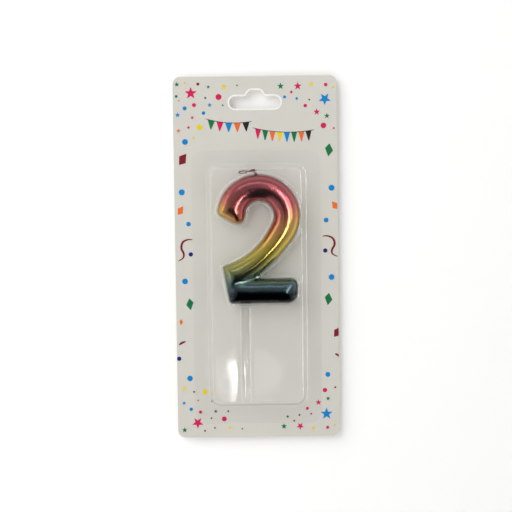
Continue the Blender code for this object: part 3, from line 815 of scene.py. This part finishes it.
# each profile: distance inside the outline (mm), depth of the film's front
POCKET_PROFILE = [(-0.6, FLANGE_DEPTH), (-0.25, 1.02), (0.0, 1.12), (0.18, 1.40), (0.30, 1.75), (2.10, 7.00),
                  (2.14, 7.23), (2.22, 7.45), (2.36, 7.64), (2.55, 7.78), (2.77, 7.87), (3.0, PLATEAU_DEPTH)]
BOSS_PROFILE = [(-2.3, 0.0), (-2.29, 7.90), (-2.0, 7.91), (-1.72, 7.97), (-1.55, 8.12), (-1.46, 8.40),
                (-1.20, 10.35), (-1.14, 10.70), (-1.00, 11.0), (-0.78, 11.25), (-0.45, 11.43), (-0.1, 11.54),
                (0.3, 11.58), (0.7, BOSS_DEPTH)]
CHANNEL_PROFILE = [(0.30, 0.0), (0.31, PLATEAU_DEPTH), (0.6, 7.93), (0.78, 8.05), (0.88, 8.25), (0.98, 8.70),
                   (1.08, 8.95), (1.25, 9.20), (1.55, 9.42), (1.95, 9.55), (2.4, CHANNEL_DEPTH)]

GRID_STEP, GRID_SHAKE = 1.6, 0.3  # the film's inner points, set a little unevenly
GRID_ACROSS, GRID_UP = (-34.0, 34.1), (-182.0, -35.0)


def film_depth(points):
    """Depth of the film's front face: the pocket, with the raised forms over figure and stick."""
    def along(profile, outline):
        distances, depths = zip(*profile)
        return np.interp(signed_distance(points, outline), distances, depths)
    p = np.asarray(points, float)
    pocket = along(POCKET_PROFILE, rounded_rectangle(POCKET))
    boss = along(BOSS_PROFILE, numeral_outline())
    channel = along(CHANNEL_PROFILE, rounded_rectangle(CHANNEL))
    inside = signed_distance(points, rounded_rectangle(POCKET, 2.7))
    raised = np.where(inside > -0.5, np.maximum(boss, channel), 0.0)
    depth = np.maximum(pocket, raised)
    calm = np.clip(inside / 4, 0, 1)
    wave = 0.012 * np.sin(p[:, 0] * 0.31 + 1.3 * np.sin(p[:, 1] * 0.11)) * np.sin(p[:, 1] * 0.17 + 0.6)
    return depth + wave * calm


def film_points():
    """Outline rings along every bend of the film, and a grid between them."""
    rings = [rounded_rectangle(FLANGE), rounded_rectangle(FLANGE, 0.4)]
    rings += [rounded_rectangle(POCKET, e, 12) for e, _ in POCKET_PROFILE]
    rings += [rounded_rectangle(POCKET, e, 12) for e in (0.9, 1.5)]
    rings += [numeral_outline(-distance) for distance, _ in BOSS_PROFILE[2:]]
    rings += [rounded_rectangle(CHANNEL, distance, 4) for distance, _ in CHANNEL_PROFILE[2:]]
    flat, edges = [], []
    for ring in rings:
        edges += closed(len(ring), len(flat))
        flat += ring
    columns, rows = (np.arange(*span, GRID_STEP) for span in (GRID_ACROSS, GRID_UP))
    grid = [(x + GRID_SHAKE * math.sin(z * 3), z + GRID_SHAKE * math.sin(x * 5))
            for x in columns for z in rows]
    keep = signed_distance(grid, rounded_rectangle(FLANGE)) > 1.0
    keep &= np.abs(signed_distance(grid, rounded_rectangle(POCKET, 1.5))) > 2.2
    keep &= np.abs(signed_distance(grid, numeral_outline()) + 0.8) > 2.0
    keep &= (np.abs(signed_distance(grid, rounded_rectangle(CHANNEL)) - 1.3) > 1.4) | \
            (signed_distance(grid, numeral_outline()) > 0)
    flat += [p for p, ok in zip(grid, keep) if ok]
    return flat, edges


def make_film():
    """The front skin, a back skin one film thickness behind it, and the rim that joins them."""
    flat, edges = film_points()
    bm, _ = skin(flat, edges, 0, 1e-3, film_depth)
    drop_loose(bm)
    front = list(bm.verts)
    for face in bm.faces:
        face.normal_update()
        if face.normal.y > 0:
            face.normal_flip()
    bm.normal_update()
    rim = [e for e in bm.edges if len(e.link_faces) == 1]
    back = {v: bm.verts.new(v.co - v.normal * FILM * MM) for v in front}
    for v in front:
        if v.normal.y < -0.95:
            back[v].co = v.co + Vector((0, FILM * MM, 0))
    for face in list(bm.faces):
        bm.faces.new([back[v] for v in reversed(face.verts)])
    for edge in rim:
        a, b = edge.verts
        bm.faces.new((a, b, back[b], back[a]))
    film = add_piece(bm, "blister_film", 60)
    # the last value sets the painted white highlight along the film's steep walls
    film.data.materials.append(
        clear_material("clear_film", (0.9990, 0.9992, 0.9985), 1.5, 0.05, 2.6, (60, 0.00002), 0.17))
    firm = film.modifiers.new("flat_faces_first", "WEIGHTED_NORMAL")
    firm.weight = 80
    firm.keep_sharp = True
    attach(film, "blister")
    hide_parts("blister_shell")


# ---- the wax figure ----

RING_ANGLE = 7.5  # rings of the swelling front, as angles of its elliptical section
RING_SPACING = 0.42
CREASE = 1.7  # how softly the two strokes run together
CREASE_MARGIN = 1.5  # and how far inside the outline it is fully soft
OUTSIDE_DROP = 4.0  # outside a stroke its front falls away by this much per mm
SOFT_STEP, SOFT_WIDTH = 0.2, 0.8
SOFT_INSIDE = 2.2  # this far inside the edge the softening starts, and as far again it is full


def swell(inside):
    """Depth of a stroke's front by the distance inside its edge: an ellipse on a straight wall."""
    share = np.clip(inside / HALF_STROKE, 0, 1)
    return WALL_DEPTH + (FIGURE_DEPTH - WALL_DEPTH) * np.sqrt(1 - (1 - share) ** 2)


def blended_swell(places, outline, strokes):
    """Depth of the front over both strokes, with a soft hollow where one runs into the other."""
    depths = []
    for stroke in strokes:
        inside = signed_distance(places, stroke)
        depths.append(swell(np.maximum(inside, 0)) + OUTSIDE_DROP * np.minimum(inside, 0))
    reach = np.maximum(CREASE * np.clip(signed_distance(places, outline) / CREASE_MARGIN, 0, 1), 1e-6)
    near = np.maximum(reach - np.abs(depths[0] - depths[1]), 0) / reach
    return np.maximum(np.maximum(depths[0], depths[1]) + near * near * reach / 4, WALL_DEPTH)


def softened(places, outline, strokes):
    """Depth of the front, with the sharp ridge along each crown rounded off and the edges left alone."""
    corners = np.asarray(outline)
    low, high = corners.min(axis=0) - 1, corners.max(axis=0) + 1
    columns, rows = (np.arange(a, b + SOFT_STEP, SOFT_STEP) for a, b in zip(low, high))
    grid = np.stack(np.meshgrid(columns, rows, indexing="ij"), axis=-1)
    field = blended_swell(grid.reshape(-1, 2), outline, strokes).reshape(grid.shape[:2])
    reach = np.arange(-3 * SOFT_WIDTH, 3 * SOFT_WIDTH + SOFT_STEP / 2, SOFT_STEP)
    weights = np.exp(-(reach / SOFT_WIDTH) ** 2 / 2)
    weights /= weights.sum()
    for axis in (0, 1):
        field = np.apply_along_axis(np.convolve, axis, field, weights, "same")
    at = (np.asarray(places) - low) / SOFT_STEP
    cell = np.floor(at).astype(int)
    (i, j), (u, v) = cell.T, (at - cell).T
    soft = (field[i, j] * (1 - u) * (1 - v) + field[i + 1, j] * u * (1 - v)
            + field[i, j + 1] * (1 - u) * v + field[i + 1, j + 1] * u * v)
    share = np.clip((signed_distance(places, outline) - SOFT_INSIDE) / SOFT_INSIDE, 0, 1)
    return blended_swell(places, outline, strokes) * (1 - share) + soft * share


def front_rings(strokes):
    """Points over the swelling front, in rings that follow each stroke's outline."""
    kept = []
    cells = {}
    for number, outline in enumerate(strokes):
        other = strokes[1 - number]
        for ring in range(1, int(90 / RING_ANGLE) + 1):
            depth = HALF_STROKE * (1 - math.cos(math.radians(ring * RING_ANGLE)))
            found = []
            for before, here, after in zip([outline[-1]] + outline, outline, outline[1:] + outline[:1]):
                along = Vector(after) - Vector(before)
                side = Vector((along.y, -along.x)).normalized() * depth
                found.append((here[0] + side.x, here[1] + side.y))
            own = signed_distance(found, outline)
            across = signed_distance(found, other)
            for point, mine, theirs in zip(found, own, across):
                if mine < 0.96 * depth or theirs > depth + 0.6:
                    continue
                cell = (math.floor(point[0] / RING_SPACING), math.floor(point[1] / RING_SPACING))
                around = [(cell[0] + i, cell[1] + j) for i in (-1, 0, 1) for j in (-1, 0, 1)]
                near = [q for place_near in around for q in cells.get(place_near, [])]
                spacing = min(RING_SPACING, 0.12 + depth * 0.3)
                if all(math.dist(point, q) > spacing for q in near):
                    kept.append(point)
                    cells.setdefault(cell, []).append(point)
    return kept


def make_figure():
    """The numeral: swelling front, straight wall, chamfered flat back, and the stick's and wick's holes."""
    outline = numeral_outline()
    strokes = stroke_outlines()
    count = len(outline)
    bm, front = skin(outline + front_rings(strokes), closed(count), 1, 1e-4,
                     lambda places: softened(places, outline, strokes) + FIGURE_BACK)
    wall = front[:count]
    for level, grow in ((BACK_CHAMFER, 0.0), (BACK_CHAMFER * 0.3, -BACK_CHAMFER * 0.3), (0.0, -BACK_CHAMFER)):
        loop = [bm.verts.new(v) for v in place(numeral_outline(grow), [FIGURE_BACK + level] * count)]
        join_loops(bm, wall, loop)
        wall = loop
    bm.faces.new(wall)
    drop_loose(bm)
    figure = add_piece(bm, "wax_two")
    cut(figure, stick_body(FIT_GAP, -1.0, FIT_GAP))
    cut(figure, wick_hole())
    figure.data.shade_smooth()
    figure.data.set_sharp_from_angle(angle=math.radians(50))
    figure.data.materials.clear()
    figure.data.materials.append(lacquer_material())
    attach(figure, "candle")
    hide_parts("wax_figure_two")


def wick_hole():
    radius = WICK_RADIUS + FIT_GAP
    ring = [(WICK_X + radius * math.cos(a), WICK_DEPTH + radius * math.sin(a))
            for a in (2 * math.pi * i / 20 for i in range(20))]
    top = BOWL_Z + BOWL_RADIUS + HALF_STROKE + 1
    return loft(bmesh.new(), [[Vector((x, -d, z)) * MM for x, d in ring] for z in (WICK_LOW - 0.8, top)])


# ---- the stick ----

STICK_EDGE, STICK_ROOT = 0.25, 0.2  # radii of its edges and of the corners between blade and rib
TIP_LEVELS = [(0.0, -0.22), (0.12, -0.08)]  # height above the tip, and how far it is drawn in there
TAPER_START, TAPER_END, TAPER_STEPS = 0.4, 0.3, 12


def stick_section(width, z, grow):
    """The stick's cross section at a height: a flat blade with a rounded rib on each face."""
    w, b, r = width / 2 + grow, STICK_BLADE / 2 + grow, STICK_RIB / 2 + grow
    soft, root = STICK_EDGE + grow / 2, STICK_ROOT
    corners = [(w, -b, soft), (w, b, soft), (b, b, root), (b, r, soft), (-b, r, soft), (-b, b, root),
               (-w, b, soft), (-w, -b, soft), (-b, -b, root), (-b, -r, soft), (b, -r, soft), (b, -b, root)]
    return [Vector((STICK_X + x, -STICK_DEPTH + y, z)) * MM for x, y in rounded(corners, 3)]


def stick_body(grow, below=0.0, above=0.0):
    """The stick, or with grow the straight socket that its upper end fits in."""
    foot = BOWL_Z + BASE_BOTTOM
    tip = foot - STICK_REACH
    bm = bmesh.new()
    if grow:
        return loft(bm, [stick_section(STICK_WIDTH_TOP, foot + below, grow),
                         stick_section(STICK_WIDTH_TOP, foot + STICK_TANG + above, grow)])
    levels = [(STICK_WIDTH_TIP, tip + rise, drawn_in) for rise, drawn_in in TIP_LEVELS]
    length = STICK_REACH - TAPER_START - TAPER_END
    for i in range(TAPER_STEPS + 1):
        width = STICK_WIDTH_TIP + (STICK_WIDTH_TOP - STICK_WIDTH_TIP) * i / TAPER_STEPS
        levels.append((width, tip + TAPER_START + length * i / TAPER_STEPS, 0))
    levels += [(STICK_WIDTH_TOP, foot + STICK_TANG, 0)]
    return loft(bm, [stick_section(*level) for level in levels])


def make_stick():
    stick = add_piece(stick_body(0.0), "clear_stick", 40)
    # the last value sets the painted white highlight along the stick's steep faces
    plastic = clear_material("clear_plastic", (0.985, 0.987, 0.985), 1.49, 0.08, 3.5, (140, 0.00008), 0.18)
    stick.data.materials.append(plastic)
    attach(stick, "candle")
    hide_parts("plastic_stick")


# ---- the wick ----

THREAD = 0.54  # radius of each of the wick's two threads where they're thickest, past the fold
THREAD_GAP = 0.42  # their middles from the wick's own
THREAD_SHARE = 0.54  # of that size elsewhere
THREAD_PITCH = 2.3
LOOP_START, LOOP_HALF = 5.6, 0.62  # the end opens into a loop
# the wick's route (x, z): up through the wax, then from the fold to its end
WICK_RISE = [(WICK_X, WICK_LOW), (WICK_X, -54.0), (WICK_X, -49.0), (WICK_X, -46.6), (WICK_X - 0.25, -45.75)]
WICK_OVER = [(-1.3, 0.02), (-3.7, -0.3), (-6.6, -0.7), (-9.7, -0.8)]
ROUTE_STEPS = 20
FIBRE_RADIUS, FIBRE_SIDES = 0.06, 6


def ease(value, low, high):
    share = min(max((value - low) / (high - low), 0.0), 1.0)
    return share * share * (3 - 2 * share)


def thread(points, fold_index, phase, sides=14):
    """One of the two threads twisted round each other along the wick, which part into a loop at its end."""
    across = Vector((0, 1, 0))
    rings = []
    travelled, past_fold = 0.0, 0.0
    total = sum((b - a).length for a, b in zip(points[fold_index:], points[fold_index + 1:]))
    full = sum((b - a).length for a, b in zip(points[:fold_index], points[1:fold_index + 1]))
    for i, point in enumerate(points):
        before, after = points[max(i - 1, 0)], points[min(i + 1, len(points) - 1)]
        along = (after - before).normalized()
        side = along.cross(across).normalized()
        step = (point - points[max(i - 1, 0)]).length
        travelled += step
        past_fold += step if i > fold_index else 0.0
        turn = 2 * math.pi * travelled / THREAD_PITCH + phase
        loose = ease(travelled, full - 1.5, full + 0.3) * (1 - ease(past_fold, 2.8, 4.6))
        share = THREAD_SHARE + (1 - THREAD_SHARE) * loose
        twisted = (side * math.cos(turn) + across * math.sin(turn)) * THREAD_GAP * share
        opened = max(past_fold - LOOP_START, 0.0) / (total - LOOP_START)
        looped = side * math.cos(phase) * LOOP_HALF * math.sin(math.pi * min(opened, 1.0)) ** 0.7
        middle = point + twisted.lerp(looped, ease(past_fold, LOOP_START - 0.8, LOOP_START + 0.5))
        size = THREAD * share
        ring = []
        for k in range(sides):
            a = 2 * math.pi * k / sides
            r = size * (1 + 0.09 * math.sin(3 * a + 2 * math.pi * travelled / 0.7))
            ring.append((middle + (side * math.cos(a) + across * math.sin(a)) * r) * MM)
        rings.append(ring)
    return rings


def loose_fibres(root, count=7):
    """Short fibres standing off the wick at its fold."""
    rng = random.Random(7)
    fibres = []
    for _ in range(count):
        heading = Vector((rng.uniform(-0.7, 0.9), rng.uniform(-0.6, 0.4), rng.uniform(0.3, 1.0))).normalized()
        bend = Vector((rng.uniform(-0.5, 0.5), rng.uniform(-0.4, 0.4), rng.uniform(-0.3, 0.3)))
        length = rng.uniform(0.5, 1.0)
        start = root + Vector((rng.uniform(-1.6, 0.2), rng.uniform(-0.1, 0.1), rng.uniform(-0.1, 0.1)))
        fibres.append([start + heading * length * t + bend * length * t * t * 0.6
                       for t in (0, 0.35, 0.7, 1.0)])
    return fibres


def make_wick():
    points = WICK_RISE + [(WICK_X + x, WICK_FOLD + z) for x, z in WICK_OVER]
    path = [Vector((x, -WICK_DEPTH, z)) for x, z in smooth_path(points, ROUTE_STEPS)]
    fold_index = (len(WICK_RISE) - 1) * ROUTE_STEPS
    bm = bmesh.new()
    for phase in (0.0, math.pi):
        loft(bm, thread(path, fold_index, phase))
    for fibre in loose_fibres(Vector((WICK_X, -WICK_DEPTH, WICK_FOLD))):
        rings = []
        for i, point in enumerate(fibre):
            size = FIBRE_RADIUS * (1 - 0.2 * i)
            rings.append([(point + Vector((math.cos(a), math.sin(a), 0)) * size) * MM
                          for a in (2 * math.pi * k / FIBRE_SIDES for k in range(FIBRE_SIDES))])
        loft(bm, rings)
    wick = add_piece(bm, "twisted_wick", 70)
    wick.data.materials.append(cotton_material())
    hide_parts("wick_core", "wick_end")
    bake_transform(wick)


# ---- camera, light and surroundings ----

VIEW_WIDTH = 280.7 * MM  # what the camera takes in at the card
LENS, SENSOR = 85, 36
CAMERA_RISE = math.radians(3.5)
CAMERA_ROLL = math.radians(0.72)
AIM = Vector((-0.4, 0, -90.35)) * MM
WALL_GAP = 3.3 * MM


def make_camera():
    camera = bpy.data.cameras.new("camera")
    camera.lens = LENS
    camera.sensor_width = SENSOR
    camera.clip_start = 0.01
    holder = bpy.data.objects.new("camera", camera)
    distance = VIEW_WIDTH * LENS / SENSOR
    back = Vector((0, -math.cos(CAMERA_RISE), math.sin(CAMERA_RISE)))
    look = (-back).to_track_quat("-Z", "Y").to_matrix().to_4x4()
    turned = look @ Matrix.Rotation(-CAMERA_ROLL, 4, "Z")
    holder.matrix_world = Matrix.Translation(AIM + back * distance) @ turned
    bpy.context.scene.collection.objects.link(holder)
    bpy.context.scene.camera = holder


LIGHT_AIM = (0, 0, -0.095)
GLINT_AIM = (-0.0145, -0.008, -0.162)
# lamps that only gloss mirrors: name, place, width and height, radiance
GLOSS_LAMPS = [
    ("right_strip", (0.33, -0.84, -0.05), (0.10, 0.75), 14.0),
    ("right_card", (0.58, -0.72, 0.10), (0.24, 0.5), 2.8),
    ("left_card", (-0.80, -0.40, 0.05), (0.12, 0.9), 1.8),
    ("top_card", (0.0, -0.68, 0.50), (0.9, 0.12), 1.9),
]
# oval lamps whose glint only the film shows
GLINT_LAMPS = [
    ("glint", (-0.026, -0.658, -0.264), (0.013, 0.040), 24.0),
    ("glint_halo", (-0.014, -0.658, -0.256), (0.085, 0.055), 1.6),
]


def area_light(name, place_at, size, radiance, aim=LIGHT_AIM, shape="RECTANGLE",
               mirrored_only=True, only=None):
    """A soft lamp whose face has the given radiance, on every piece or only on one."""
    lamp = bpy.data.lights.new(name, "AREA")
    lamp.shape = shape
    lamp.size, lamp.size_y = size
    area = size[0] * size[1] * (math.pi / 4 if shape == "ELLIPSE" else 1)
    lamp.energy = radiance * area * math.pi
    holder = bpy.data.objects.new(name, lamp)
    holder.location = place_at
    holder.rotation_euler = (Vector(aim) - Vector(place_at)).to_track_quat("-Z", "Y").to_euler()
    holder.visible_camera = False
    holder.visible_diffuse = not mirrored_only
    holder.visible_glossy = mirrored_only
    bpy.context.scene.collection.objects.link(holder)
    if only:
        lit = bpy.data.collections.new(name + "_falls_on")
        lit.objects.link(bpy.data.objects[only])
        holder.light_linking.receiver_collection = lit


def make_lights():
    """A big soft window for matt surfaces, and strips and cards for the gloss."""
    area_light("window", (-0.75, -0.75, 0.60), (1.25, 1.25), 2.72, mirrored_only=False)
    for lamp in GLOSS_LAMPS:
        area_light(*lamp)
    area_light("film_edge", (0.80, -0.42, -0.14), (0.45, 0.9), 7.0, only="blister_film")
    for lamp in GLINT_LAMPS:
        area_light(*lamp, aim=GLINT_AIM, shape="ELLIPSE", only="blister_film")


# how bright the room is from behind the card (0) by way of the sides (0.5) to behind the camera (1)
ROOM = [(0.0, 0.75), (0.34, 0.80), (0.46, 1.00), (0.58, 1.00), (0.70, 0.55), (0.90, 0.42), (0.985, 0.34)]
# the dark shape below and behind the camera
SHADE_MIDDLE, SHADE_HALF, SHADE_BLUR = 0.05, 0.46, 0.11


def make_world():
    """White to the camera; for lighting, bright all round but dark behind the camera."""
    world = bpy.data.worlds.new("studio")
    bpy.context.scene.world = world
    world.use_nodes = True
    nodes = world.node_tree.nodes
    nodes.clear()
    out = add(nodes, "OutputWorld")
    direction = add(nodes, "SeparateXYZ", Vector=add(nodes, "TexCoord").outputs["Generated"])
    forward = scaled(direction.outputs["Y"], -0.5, 0.5)
    aside = maths("ABSOLUTE", maths("SUBTRACT", direction.outputs["X"], SHADE_MIDDLE))
    below = scaled(direction.outputs["Z"], 0.5, 0.5)
    shade = ramp(aside, [(SHADE_HALF - SHADE_BLUR, 1.0), (SHADE_HALF + SHADE_BLUR, 0.0)], "EASE")
    for value, stops in ((below, [(0.45, 1.0), (0.53, 0.0)]), (forward, [(0.42, 0.0), (0.55, 1.0)])):
        shade = times(shade, ramp(value, stops, "EASE"))
    level = times(ramp(forward, ROOM, "EASE"), maths("SUBTRACT", 1.0, shade))
    around = add(nodes, "Background", Color=level).outputs[0]
    white = add(nodes, "Background", Color=(0.99, 0.99, 0.985)).outputs[0]
    feed(out, Surface=mix_shader(add(nodes, "LightPath").outputs["Is Camera Ray"], around, white))


def stage_plane(name, corners, albedo, seen_from_front_only):
    """A matt plane that no gloss mirrors."""
    bm = bmesh.new()
    bm.faces.new([bm.verts.new(c) for c in corners])
    plane = add_piece(bm, name, outward=False)
    plane.visible_glossy = False
    surface, nodes, shader = new_material(name)
    feed(shader, Base_Color=albedo, Roughness=1.0, Specular_IOR_Level=0.0)
    if seen_from_front_only:
        front = maths("SUBTRACT", 1.0, add(nodes, "NewGeometry").outputs["Backfacing"])
        seen = times(add(nodes, "LightPath").outputs["Is Camera Ray"], front)
        clear = add(nodes, "BsdfTransparent").outputs[0]
        feed(nodes["Material Output"], Surface=mix_shader(seen, clear, shader.outputs[0]))
    plane.data.materials.append(surface)


def make_stage():
    """A pale wall a few millimetres behind the card, and a pale floor."""
    back = CARD_HIGH.y + WALL_GAP
    floor, wide, high = -0.30, 3.0, 2.0
    upright = [(-wide, back, floor), (wide, back, floor), (wide, back, high), (-wide, back, high)]
    level = [(-wide, -wide, floor), (wide, -wide, floor), (wide, wide, floor), (-wide, wide, floor)]
    stage_plane("wall", upright, (0.97, 0.97, 0.965), True)
    stage_plane("floor", level, (0.86, 0.86, 0.85), False)


def main():
    make_camera()
    make_world()
    make_stage()
    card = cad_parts["backing_card"]
    card.data.materials.clear()
    card.data.materials.append(board_material())
    make_print()
    make_slot_edge()
    make_film()
    make_figure()
    make_stick()
    make_wick()
    make_lights()
    view = bpy.context.scene.view_settings
    view.view_transform = "Standard"
    view.look = "None"
    view.exposure = 0.0
    view.gamma = 1.0


main()
